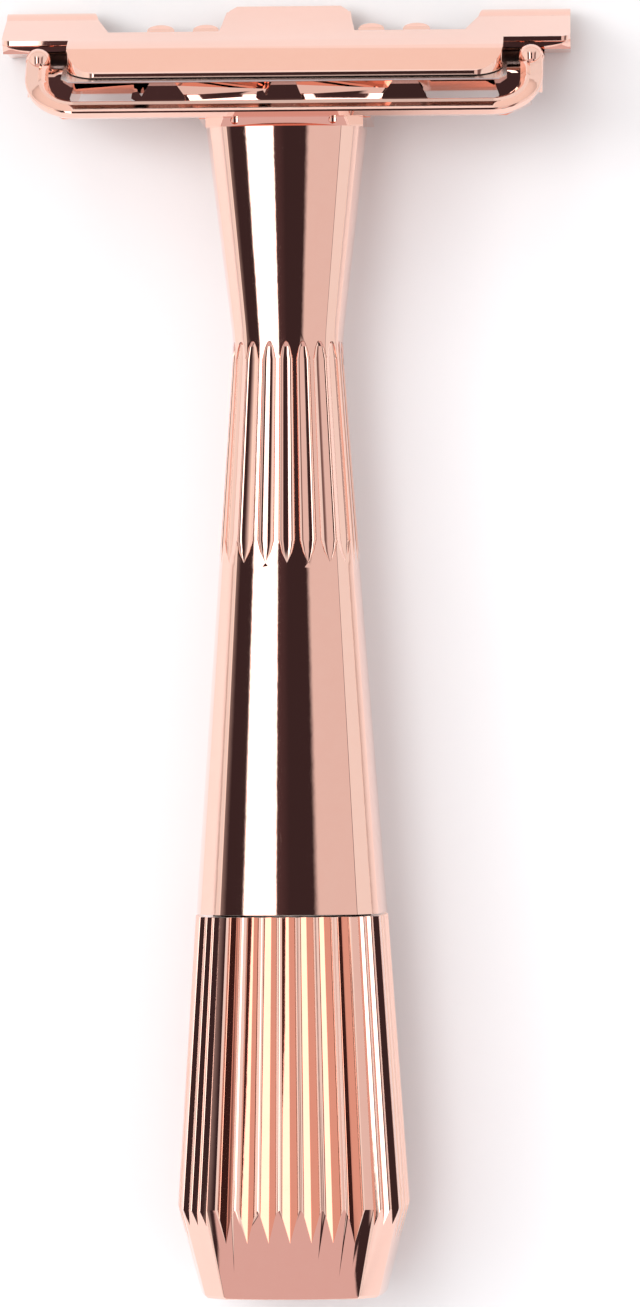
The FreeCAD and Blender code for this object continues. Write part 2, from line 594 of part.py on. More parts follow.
def make_neck_collar():
    """Plate with cut corners between the neck and the base."""
    body = new_body("neck_collar")
    sketch = new_sketch(body, "XZ_Plane", "-neck_top_y")
    outline(sketch, (
        ("collar_half - collar_cut", "collar_front_z"), ("collar_half", "collar_front_z - collar_cut"),
        ("collar_half", "collar_back_z + collar_cut"), ("collar_half - collar_cut", "collar_back_z"),
        ("-(collar_half - collar_cut)", "collar_back_z"),
        ("-collar_half", "collar_back_z + collar_cut"),
        ("-collar_half", "collar_front_z - collar_cut"),
        ("-(collar_half - collar_cut)", "collar_front_z")))
    rectangle(sketch, "-cavity_half", "cavity_half", "cavity_back_z", "cavity_front_z")
    for side in ("dowel_pair_x", "-dowel_pair_x"):
        circle(sketch, side, "0", "dowel_pair_r")
    extrude(body, sketch, "base_low_y - neck_top_y", symmetric=False, reverse=True)
    return body


def make_standing_pair(label, across, depth, radius, low, high):
    """Two plain pins that stand along the handle's direction, one on each side."""
    body = new_body(label)
    sketch = new_sketch(body, "XZ_Plane", f"-{low}")
    for side in ("", "-"):
        circle(sketch, f"{side}{across}", depth, radius)
    extrude(body, sketch, f"{high} - {low}", symmetric=False, reverse=True)
    return body


def make_end_posts():
    """Two round-headed posts that stand beside the blade's end tabs."""
    posts = []
    for side in (1, -1):
        stem = doc.addObject("Part::Cylinder", "post_stem")
        head = doc.addObject("Part::Sphere", "post_head")
        for piece in (stem, head):
            piece.setExpression("Radius", bound("post_r"))
            piece.setExpression("Placement.Base.x", bound(f"{side} * post_x"))
            piece.setExpression("Placement.Base.z", bound("post_z"))
        stem.Placement.Rotation = FreeCAD.Rotation(FreeCAD.Vector(1, 0, 0), -90)
        stem.setExpression("Height", bound("post_top_y - post_r - post_low_y"))
        stem.setExpression("Placement.Base.y", bound("post_low_y"))
        head.setExpression("Placement.Base.y", bound("post_top_y - post_r"))
        post = doc.addObject("Part::Fuse", "post")
        post.Base = stem
        post.Tool = head
        posts.append(post)
    pair = doc.addObject("Part::Compound", "end_posts")
    pair.Links = posts
    return pair


def make_razor_blade():
    """Half of a standard double-edge blade, drawn flat from its spine to its edge."""
    body = new_body("razor_blade")
    sketch = new_sketch(body, "XY_Plane")
    tab = "-tab_width"
    bevel = "blade_edge_half - 0.6"
    outline(sketch, (
        ("spine_notch_half", "0"), ("blade_half", "0"), ("blade_half", tab),
        ("blade_edge_half", tab), ("blade_edge_half", "-(blade_width - 1)"),
        (bevel, "-blade_width"), (f"-({bevel})", "-blade_width"),
        ("-blade_edge_half", "-(blade_width - 1)"), ("-blade_edge_half", tab),
        ("-blade_half", tab), ("-blade_half", "0"), ("-spine_notch_half", "0"),
        ("-spine_notch_half", "-spine_notch_deep"), ("spine_notch_half", "-spine_notch_deep")))
    extrude(body, sketch, "blade_thick", symmetric=False)
    notches = new_sketch(body, "XY_Plane")
    for side in ("peg_x", "-peg_x"):
        circle(notches, side, "0", "peg_r + peg_gap")
    pocket(body, notches, "notch_reach")
    return body


# ------------------------------------------------------------------ assembly
def build_all():
    return (
        make_knob_shell(), make_thread_insert(), make_end_plug(),
        make_handle_shell(), make_o_ring(), make_retaining_clip(),
        washer("thrust_washer", "thrust_y", "thrust_y + thrust_thick",
               "spigot_r", "thrust_outer_r"),
        washer("friction_washer", "knob_top_y + washer_gap", "friction_top_y",
               "spigot_r", "friction_outer_r"),
        washer("lower_rod_bush", "lower_bush_y", "lower_bush_top",
               "rod_r + running_gap", "handle_bore_r"),
        washer("upper_rod_bush", "upper_bush_y", "upper_bush_top",
               "rod_r + running_gap", "neck_bore_r"),
        make_neck_collar(),
        make_standing_pair("neck_dowels", "dowel_pair_x", "0", "dowel_pair_r",
                           "dowel_low_y", "dowel_high_y"),
        make_base_plate(),
        make_standing_pair("blade_pegs", "peg_x", "spine_z", "peg_r", "peg_low_y", "peg_top_y"),
        make_end_posts(),
        make_side_pin("hinge_pin", "hinge_pin_r", "hinge_y", "hinge_z", "pin_half"),
        make_razor_blade(),
        make_pull_rod(),
        washer("rod_stop_collar", "stop_low_y", "stop_top_y", "rod_r", "stop_outer_r"),
        make_drive_yoke(), make_cross_pin(),
        make_cap_shell(), make_drive_lug(),
        make_side_pin("lug_dowel", "dowel_r", "dowel_y", "dowel_z", "dowel_half"),
        make_side_pin("drive_pin", "drive_pin_r", "drive_y", "drive_z", "yoke_half"),
    )


def place(piece):
    """Move a piece from the handle's axis to the part's own origin; the blade also tilts."""
    along, up = "-length / 2", "axis_height"
    if piece.Label == "razor_blade":
        piece.Placement.Rotation = FreeCAD.Rotation(FreeCAD.Vector(1, 0, 0), -90 + value("tilt"))
        along, up = "spine_y - length / 2", "spine_z + axis_height"
    piece.setExpression("Placement.Base.y", bound(along))
    piece.setExpression("Placement.Base.z", bound(up))


def check(piece):
    bad = {"Invalid", "Error"}.intersection(piece.State)
    if bad or piece.Shape.isNull() or not piece.Shape.isValid():
        raise RuntimeError(f"{piece.Label} failed: {piece.State}")


pieces = build_all()
for piece in pieces:
    place(piece)
doc.recompute()
for item in doc.Objects:
    if {"Invalid", "Error"}.intersection(item.State):
        raise RuntimeError(f"{item.Name} failed: {item.State}")
for piece in pieces:
    check(piece)
for piece in pieces:
    piece.Shape.exportStep(f"parts/{piece.Label}.step")
    print(f"{piece.Label}: {len(piece.Shape.Solids)} solids, {piece.Shape.Volume:.2f} mm3")
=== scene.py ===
"""Looks of a rose-gold, twist-to-open safety razor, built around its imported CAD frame.

Every object is in metres in the CAD's own frame: the razor lies on its back, +Y runs along the
handle towards the head and +Z points up from the table.  The table, the camera and the lamps are
given in metres and the pieces in millimetres, which along() and above() turn into places.
"""
import math

import bmesh
import bpy
from mathutils import Matrix, Vector


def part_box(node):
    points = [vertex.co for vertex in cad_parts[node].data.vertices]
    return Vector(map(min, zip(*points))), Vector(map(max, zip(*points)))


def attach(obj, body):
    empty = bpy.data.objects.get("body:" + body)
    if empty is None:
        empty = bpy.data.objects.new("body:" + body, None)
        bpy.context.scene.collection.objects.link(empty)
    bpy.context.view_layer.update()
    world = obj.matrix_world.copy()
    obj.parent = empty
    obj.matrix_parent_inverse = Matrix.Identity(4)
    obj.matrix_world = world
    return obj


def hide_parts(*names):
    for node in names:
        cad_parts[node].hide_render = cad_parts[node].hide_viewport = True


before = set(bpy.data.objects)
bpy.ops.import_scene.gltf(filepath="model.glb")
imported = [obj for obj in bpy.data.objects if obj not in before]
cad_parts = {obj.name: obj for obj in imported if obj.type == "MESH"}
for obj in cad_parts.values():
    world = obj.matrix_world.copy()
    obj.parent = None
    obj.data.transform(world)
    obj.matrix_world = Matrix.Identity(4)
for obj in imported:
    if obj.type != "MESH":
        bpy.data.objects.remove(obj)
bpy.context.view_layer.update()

MM = 0.001

# -------------------------------------------------------------------------------------------------
# Table, camera and studio.  The razor lies on a white table under a dark ceiling.  One long white
# strip hangs left of the camera, a dimmer panel right of it, and the walls are bright.
knob_low, knob_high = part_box("knob_shell")
END_Y = knob_low.y
AXIS_Z = (knob_low.z + knob_high.z) / 2
HEAD_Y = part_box("cap_shell")[1].y


def along(mm):
    """Height on the handle's axis, in millimetres from the knob's end, as a y in metres."""
    return END_Y + mm * MM


def above(mm):
    """Distance in millimetres above the handle's axis, as a z in metres."""
    return AXIS_Z + mm * MM


def shown(name, mesh):
    """New object with this mesh, in the scene."""
    piece = bpy.data.objects.new(name, mesh)
    bpy.context.scene.collection.objects.link(piece)
    return piece


def square(name, half, height):
    """Flat square in metres, centred on the frame's z axis."""
    mesh = bpy.data.meshes.new(name)
    corners = [(x * half, y * half, height) for x, y in ((-1, -1), (1, -1), (1, 1), (-1, 1))]
    mesh.from_pydata(corners, [], [(0, 1, 2, 3)])
    return shown(name, mesh)


def fill_ramp(ramp, stops):
    """Set every stop of a colour ramp, each given as (place, colour)."""
    elements = ramp.color_ramp.elements
    elements.remove(elements[-1])
    for number, (place, colour) in enumerate(stops):
        stop = elements[0] if number == 0 else elements.new(place)
        stop.position = place
        stop.color = (*colour, 1)


# The table's colour between two places along y, in metres: white near the razor, then painted shade
# makes it greyer and at last darker and warmer beyond the head.
PAINTED_SHADE_FROM, PAINTED_SHADE_TO = 0.03, 0.11
TABLE_WHITE_AND_PAINTED_SHADE = ((0.0, (0.87, 0.89, 0.91)), (0.35, (0.81, 0.82, 0.83)), (0.68, (0.81, 0.82, 0.83)),
         (1.0, (0.76, 0.70, 0.66)))
table = square("table", 3.0, 0.0)
table_paint = bpy.data.materials.new("table_paint")
table_paint.use_nodes = True
table_nodes, table_links = table_paint.node_tree.nodes, table_paint.node_tree.links
table_shader = table_nodes["Principled BSDF"]
table_place = table_nodes.new("ShaderNodeTexCoord")
table_split = table_nodes.new("ShaderNodeSeparateXYZ")
# This ramp paints shade on the table beyond the head.
table_painted_shade = table_nodes.new("ShaderNodeValToRGB")
fill_ramp(table_painted_shade, TABLE_WHITE_AND_PAINTED_SHADE)
table_far = table_nodes.new("ShaderNodeMapRange")
table_far.inputs["From Min"].default_value = PAINTED_SHADE_FROM
table_far.inputs["From Max"].default_value = PAINTED_SHADE_TO
for out, into in ((table_place.outputs["Object"], table_split.inputs[0]),
                  (table_split.outputs["Y"], table_far.inputs["Value"]),
                  (table_far.outputs[0], table_painted_shade.inputs[0]),
                  (table_painted_shade.outputs[0], table_shader.inputs["Base Color"])):
    table_links.new(out, into)
table_shader.inputs["Roughness"].default_value = 0.9
table_shader.inputs["Specular IOR Level"].default_value = 0.1
table.data.materials.append(table_paint)

# The camera hangs over the razor, leans towards its right side and rolls slightly.  The frame's
# long side shows view_length, in metres, at the handle's axis.
view_height, view_length, sensor = 0.640, 0.1103, 36
view_lean, view_roll = math.radians(2.0), math.radians(-0.4)
camera_data = bpy.data.cameras.new("camera")
camera_data.sensor_width = sensor
camera_data.clip_start = 0.01
camera = bpy.data.objects.new("camera", camera_data)
bpy.context.scene.collection.objects.link(camera)
aim = Vector((0.00251, -0.00071, AXIS_Z))
back = Vector((math.sin(view_lean), 0, math.cos(view_lean)))
camera.location = aim + back * view_height
turn = Matrix(((math.cos(view_lean), 0, back.x), (0, 1, 0), (-math.sin(view_lean), 0, back.z)))
camera.rotation_euler = (turn @ Matrix.Rotation(view_roll, 3, "Z")).to_euler()
camera_data.lens = sensor * view_height / view_length
bpy.context.scene.camera = camera
bpy.context.scene.view_settings.view_transform = "Standard"

# The studio around the razor, as bands that run along the handle.  Each entry is the sine of the
# angle left or right of straight up, and the colour there.  The second list is the studio towards
# the knob's end, where a pink-grey backdrop hangs.
DARK, SHADE, WALL = (0.045, 0.028, 0.031), (0.82, 0.73, 0.72), (0.945, 0.945, 0.945)
STRIP, BACKDROP = (2.6, 2.6, 2.6), (0.74, 0.57, 0.57)
WINDOW, DUSK = (1.15, 1.1, 1.05), (0.3, 0.25, 0.25)
GLOOM, STRIP_EDGE = (0.2, 0.14, 0.14), (0.09, 0.05, 0.055)
OVERHEAD_BANDS = ((-1.0, WALL), (-0.62, WINDOW), (-0.49, DUSK), (-0.43, DARK), (-0.315, DARK),
                  (-0.305, STRIP), (-0.12, STRIP), (-0.11, STRIP_EDGE), (-0.03, DARK),
                  (0.12, DARK), (0.15, SHADE), (0.44, SHADE), (0.5, GLOOM), (0.62, GLOOM),
                  (0.7, WALL), (1.0, WALL))
BACKDROP_BANDS = ((-1.0, WALL), (-0.5, WALL), (-0.45, DARK), (-0.42, DARK), (-0.40, BACKDROP),
                  (0.265, BACKDROP), (0.28, DARK), (0.47, DARK), (0.5, WALL), (1.0, WALL))
world = bpy.data.worlds.new("studio")
world.use_nodes = True
bpy.context.scene.world = world
sky = world.node_tree
sky.nodes.clear()
sky_out = sky.nodes.new("ShaderNodeOutputWorld")
sky_light = sky.nodes.new("ShaderNodeBackground")
sky.links.new(sky_light.outputs[0], sky_out.inputs[0])
ray = sky.nodes.new("ShaderNodeTexCoord")
split = sky.nodes.new("ShaderNodeSeparateXYZ")
sky.links.new(ray.outputs["Generated"], split.inputs[0])
across = sky.nodes.new("ShaderNodeMath")
across.operation = "MULTIPLY_ADD"
across.inputs[1].default_value = across.inputs[2].default_value = 0.5
sky.links.new(split.outputs["X"], across.inputs[0])
# A ramp's colours stop at 1, so that they are stored as shares of the brightest level.
BRIGHTEST = 4.0


def sky_bands(entries):
    """Colour ramp across the studio, darkened so that its brightest band fits."""
    ramp = sky.nodes.new("ShaderNodeValToRGB")
    sky.links.new(across.outputs[0], ramp.inputs[0])
    fill_ramp(ramp, [(0.5 + place / 2, [level / BRIGHTEST for level in colour])
                     for place, colour in entries])
    return ramp.outputs[0]


def sky_mix(low, high, first, second):
    """Change from one colour to another as the direction's y goes from low to high."""
    share = sky.nodes.new("ShaderNodeMapRange")
    share.interpolation_type = "SMOOTHSTEP"
    share.inputs["From Min"].default_value = low
    share.inputs["From Max"].default_value = high
    sky.links.new(split.outputs["Y"], share.inputs["Value"])
    mix = sky.nodes.new("ShaderNodeMix")
    mix.data_type = "RGBA"
    sky.links.new(share.outputs[0], mix.inputs["Factor"])
    for socket, given in ((mix.inputs["A"], first), (mix.inputs["B"], second)):
        if isinstance(given, tuple):
            socket.default_value = (*(level / BRIGHTEST for level in given), 1)
        else:
            sky.links.new(given, socket)
    return mix.outputs["Result"]


# Sines of the angles towards the knob's end where the backdrop gives way to the ceiling, and
# towards the head where the ceiling gives way to the wall.
BACKDROP_FADE, WALL_FADE = (-0.42, -0.27), (0.45, 0.8)
near_knob = sky_mix(*BACKDROP_FADE, sky_bands(BACKDROP_BANDS), sky_bands(OVERHEAD_BANDS))
sky.links.new(sky_mix(*WALL_FADE, near_knob, WALL), sky_light.inputs["Color"])
sky_light.inputs["Strength"].default_value = BRIGHTEST


def lamp(name, place, size, power):
    """Area lamp that shines on the razor but isn't seen in its plating."""
    data = bpy.data.lights.new(name, "AREA")
    data.shape = "RECTANGLE"
    data.size, data.size_y = size
    data.energy = power
    light = bpy.data.objects.new(name, data)
    bpy.context.scene.collection.objects.link(light)
    light.location = place
    light.rotation_mode = "QUATERNION"
    light.rotation_quaternion = (-Vector(place)).to_track_quat("-Z", "Y")
    light.visible_glossy = False


lamp("key_left", (-0.36, 0.1, 0.85), (0.3, 0.7), 3.9)
lamp("fill_right", (0.25, -0.1, 0.9), (0.9, 0.9), 1.6)

# -------------------------------------------------------------------------------------------------
# Rose-gold plate: copper-rich gold on polished zinc.  It's a near-perfect mirror with faint
# polishing waves, a few hairline marks and clouds that are a touch paler where it is rubbed.


def group_of(name, inputs, outputs):
    """Empty shader group with named sockets, each given as (name, type, default)."""
    group = bpy.data.node_groups.new(name, "ShaderNodeTree")
    for label, kind, default in inputs:
        socket = group.interface.new_socket(label, in_out="INPUT", socket_type=kind)
        if default is not None:
            socket.default_value = default
    for label, kind in outputs:
        group.interface.new_socket(label, in_out="OUTPUT", socket_type=kind)
    return group, group.nodes.new("NodeGroupInput"), group.nodes.new("NodeGroupOutput")


def make_polish_group():
    """Handling marks: hairline scratches, soft cloudiness and a small change of tone."""
    group, given, made = group_of(
        "polish_marks",
        (("Scale", "NodeSocketFloat", 900.0), ("Marks", "NodeSocketFloat", 0.5),
         ("Base", "NodeSocketColor", None), ("Rubbed", "NodeSocketColor", None),
         ("Roughness", "NodeSocketFloat", 0.05)),
        (("Color", "NodeSocketColor"), ("Roughness", "NodeSocketFloat"),
         ("Height", "NodeSocketFloat")))
    nodes, links = group.nodes, group.links
    place = nodes.new("ShaderNodeTexCoord")
    stretch = nodes.new("ShaderNodeMapping")
    stretch.inputs["Scale"].default_value = (1.0, 0.06, 1.0)
    links.new(place.outputs["Object"], stretch.inputs[0])
    hair = nodes.new("ShaderNodeTexNoise")
    hair.inputs["Detail"].default_value = 6
    links.new(stretch.outputs[0], hair.inputs["Vector"])
    times = nodes.new("ShaderNodeMath")
    times.operation = "MULTIPLY"
    times.inputs[1].default_value = 6.0
    links.new(given.outputs["Scale"], times.inputs[0])
    links.new(times.outputs[0], hair.inputs["Scale"])
    cloud = nodes.new("ShaderNodeTexNoise")
    cloud.inputs["Detail"].default_value = 3
    links.new(place.outputs["Object"], cloud.inputs["Vector"])
    links.new(given.outputs["Scale"], cloud.inputs["Scale"])
    marks = nodes.new("ShaderNodeMapRange")
    marks.inputs["From Min"].default_value = 0.62
    marks.inputs["From Max"].default_value = 0.8
    links.new(hair.outputs[0], marks.inputs["Value"])
    strength = nodes.new("ShaderNodeMath")
    strength.operation = "MULTIPLY"
    links.new(marks.outputs[0], strength.inputs[0])
    links.new(given.outputs["Marks"], strength.inputs[1])
    rough = nodes.new("ShaderNodeMath")
    rough.operation = "MULTIPLY_ADD"
    rough.inputs[1].default_value = 0.12
    links.new(strength.outputs[0], rough.inputs[0])
    links.new(given.outputs["Roughness"], rough.inputs[2])
    tone = nodes.new("ShaderNodeMix")
    tone.data_type = "RGBA"
    links.new(cloud.outputs[0], tone.inputs["Factor"])
    links.new(given.outputs["Base"], tone.inputs["A"])
    links.new(given.outputs["Rubbed"], tone.inputs["B"])
    links.new(tone.outputs["Result"], made.inputs["Color"])
    links.new(rough.outputs[0], made.inputs["Roughness"])
    links.new(cloud.outputs[0], made.inputs["Height"])
    return group


polish_marks = make_polish_group()

# How strongly a handled surface is marked, how fine the marks on metal are, and its faint waves.
HANDLED = 0.5
METAL_SCALE, WAVE_HEIGHT, WAVE_STRENGTH = 900.0, 0.00002, 0.08


def worn(name, base, rubbed, roughness, marks, scale):
    """Material whose colour and roughness come from the polish group, in a node named marks."""
    material = bpy.data.materials.new(name)
    material.use_nodes = True
    tree = material.node_tree
    marked = tree.nodes.new("ShaderNodeGroup")
    marked.name = "marks"
    marked.node_tree = polish_marks
    for label, level in (("Scale", scale), ("Marks", marks), ("Base", (*base, 1)),
                         ("Rubbed", (*rubbed, 1)), ("Roughness", roughness)):
        marked.inputs[label].default_value = level
    shader = tree.nodes["Principled BSDF"]
    tree.links.new(marked.outputs["Color"], shader.inputs["Base Color"])
    tree.links.new(marked.outputs["Roughness"], shader.inputs["Roughness"])
    return material


def metal(name, base, rubbed, roughness, marks=HANDLED):
    """Worn metal with faint waves in its surface."""
    material = worn(name, base, rubbed, roughness, marks, METAL_SCALE)
    nodes, links = material.node_tree.nodes, material.node_tree.links
    shader = nodes["Principled BSDF"]
    shader.inputs["Metallic"].default_value = 1.0
    bump = nodes.new("ShaderNodeBump")
    bump.inputs["Distance"].default_value = WAVE_HEIGHT
    bump.inputs["Strength"].default_value = WAVE_STRENGTH
    links.new(nodes["marks"].outputs["Height"], bump.inputs["Height"])
    links.new(bump.outputs[0], shader.inputs["Normal"])
    return material


rose_gold = metal("rose_gold_plate", (0.945, 0.605, 0.505), (0.955, 0.635, 0.535), 0.03)

# -------------------------------------------------------------------------------------------------
# Handle: cast, ground to eight slightly crowned facets and plated.  It tapers to a waist below the
# head and flares again to the collar.  Its 24 flutes are milled with a round cutter, which leaves
# pointed ends.
# The octagon: a flat's share of the width, a flat's half-angle as an arc and its number of steps,
# and how far an edge's rounding reaches, for a half-width of 1.
FLAT_SHARE = 0.72
CROWN = math.radians(12.0)
FLAT_STEPS = 12
EDGE_ROUNDING = 0.012


def crowned_octagon():
    """Outline of the cross-section for a half-width of 1: four crowned flats and four chamfers."""
    radius = FLAT_SHARE / math.sin(CROWN)
    outline = []
    for quarter in range(4):
        turn = quarter * math.pi / 2
        for step in range(FLAT_STEPS + 1):
            lean = CROWN * (2 * step / FLAT_STEPS - 1)
            side, out = radius * math.sin(lean), 1 - radius * (1 - math.cos(lean))
            outline.append(Vector((side * math.cos(turn) + out * math.sin(turn),
                                   out * math.cos(turn) - side * math.sin(turn))))
    eased = []
    for step, corner in enumerate(outline):
        if step % (FLAT_STEPS + 1) not in (0, FLAT_STEPS):
            eased.append(corner)
            continue
        before, after = outline[step - 1], outline[(step + 1) % len(outline)]
        start = corner + (before - corner).normalized() * EDGE_ROUNDING
        end = corner + (after - corner).normalized() * EDGE_ROUNDING
        for share in (0.0, 0.25, 0.5, 0.75, 1.0):
            eased.append(start.lerp(corner, share).lerp(corner.lerp(end, share), share))
    return eased


def released(shape, name):
    """New object from a bmesh, which is used up."""
    mesh = bpy.data.meshes.new(name)
    shape.to_mesh(mesh)
    shape.free()
    return shown(name, mesh)


def solid(shape, name):
    """New object from a closed bmesh, with its faces turned outwards."""
    bmesh.ops.recalc_face_normals(shape, faces=shape.faces)
    return released(shape, name)


def ringed(shape, rings, name):
    """Closed solid from rings of vertices: walls between neighbours and a face at each end."""
    count = len(rings[0])
    for low, high in zip(rings, rings[1:]):
        for step in range(count):
            after = (step + 1) % count
            shape.faces.new((low[step], low[after], high[after], high[step]))
    shape.faces.new(rings[0][::-1])
    shape.faces.new(rings[-1])
    return solid(shape, name)


def faceted_bar(name, stations):
    """Closed bar with the octagon's section; stations are (mm along the axis, half-width in mm)."""
    section = crowned_octagon()
    shape = bmesh.new()
    rings = [[shape.verts.new((x * half * MM, along(mm), above(z * half))) for x, z in section]
             for mm, half in stations]
    return ringed(shape, rings, name)


def bake(piece):
    """Apply every modifier of a piece to its mesh."""
    bpy.context.view_layer.update()
    graph = bpy.context.evaluated_depsgraph_get()
    mesh = bpy.data.meshes.new_from_object(piece.evaluated_get(graph))
    piece.modifiers.clear()
    piece.data = mesh


def drop(*helpers):
    """Remove helper objects that have done their work."""
    for helper in helpers:
        bpy.data.objects.remove(helper)


def combine(piece, tool, operation):
    """Cut, join or intersect a piece with a tool, which is used up."""
    cut = piece.modifiers.new(operation.lower(), "BOOLEAN")
    cut.operation = operation
    cut.solver = "EXACT"
    cut.object = tool
    bake(piece)
    drop(tool)
    return piece


# Edges sharper than the first angle are rounded, and those sharper than the second stay crisp.
ROUNDED_FROM, CRISP_FROM = math.radians(28.0), math.radians(32.0)


def soften(piece, width, segments=2):
    """Round a piece's sharp edges by a small width and shade what is left smooth."""
    if width:
        rounding = piece.modifiers.new("rounding", "BEVEL")
        rounding.width = width * MM
        rounding.segments = segments
        rounding.limit_method = "ANGLE"
        rounding.angle_limit = ROUNDED_FROM
        rounding.use_clamp_overlap = True
        bake(piece)
    for face in piece.data.polygons:
        face.use_smooth = True
    piece.data.set_sharp_from_angle(angle=CRISP_FROM)
    if width:
        flatter = piece.modifiers.new("flatter", "WEIGHTED_NORMAL")
        flatter.weight = 100
        flatter.keep_sharp = True
        bake(piece)


def finish_piece(piece, material, body, slot, *nodes):
    """Give a piece its material, its CAD body and the CAD nodes that it stands for."""
    piece.data.materials.clear()
    piece.data.materials.append(material)
    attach(piece, body)
    if nodes:
        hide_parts(*nodes)


